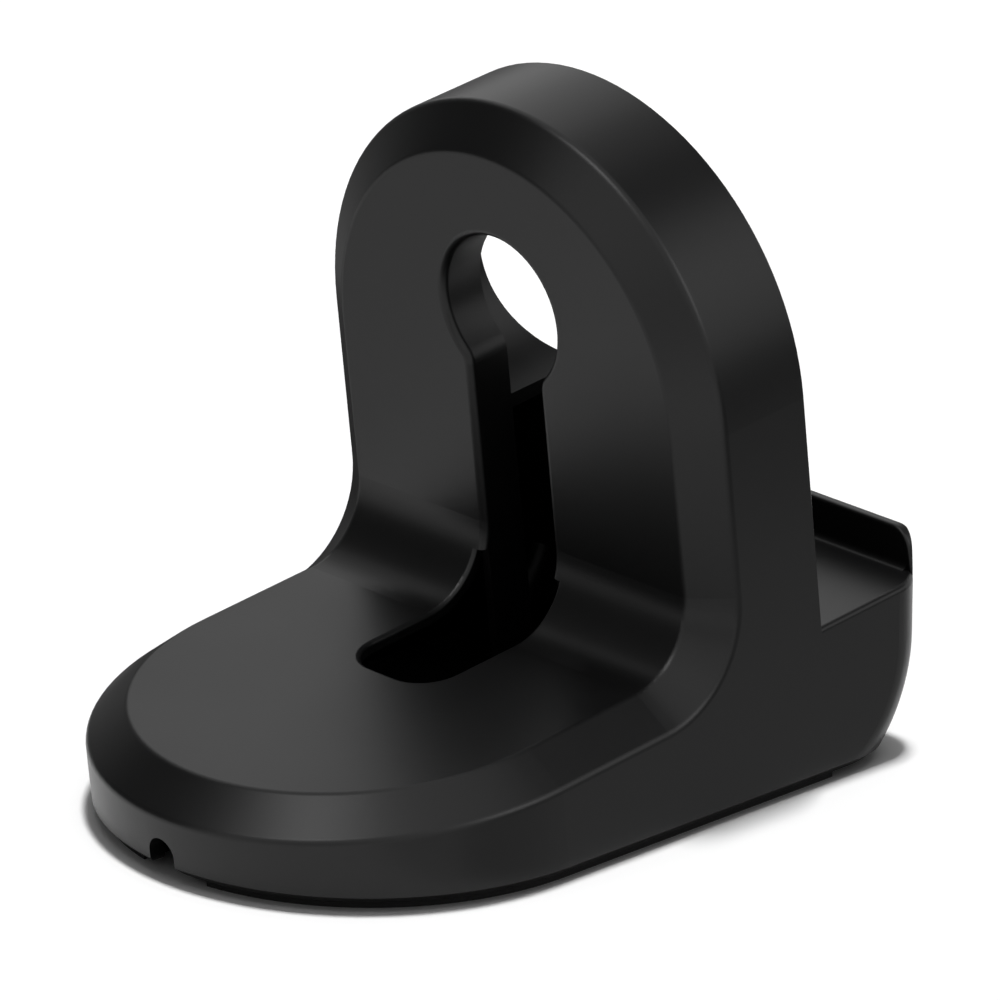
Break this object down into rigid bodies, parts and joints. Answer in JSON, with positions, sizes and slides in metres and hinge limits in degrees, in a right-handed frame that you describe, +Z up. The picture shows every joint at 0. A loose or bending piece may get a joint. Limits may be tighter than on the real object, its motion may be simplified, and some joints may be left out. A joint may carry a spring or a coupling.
{
  "type": "smartwatch charging dock",
  "caption": "Leaning arched stand with a keyhole, a puck pocket and a lipped shelf behind, on a long round-ended hollow base with a cable slot.",
  "frame": {"origin": "middle of the footprint's bounding box, on the table under the pad", "axes": "+Z up, +X across the width, -Y towards the long round end of the base with the cable notch, +Y towards the shelf and its lip"},
  "size_m": [0.06, 0.0848, 0.0749],
  "materials": {
    "body_plastic": "satin moulded black with a very fine even grain",
    "pad_rubber": "matt black sheet"
  },
  "bodies": {
    "root": {"body": "body_plastic", "pad": "pad_rubber"}
  },
  "joints": []
}
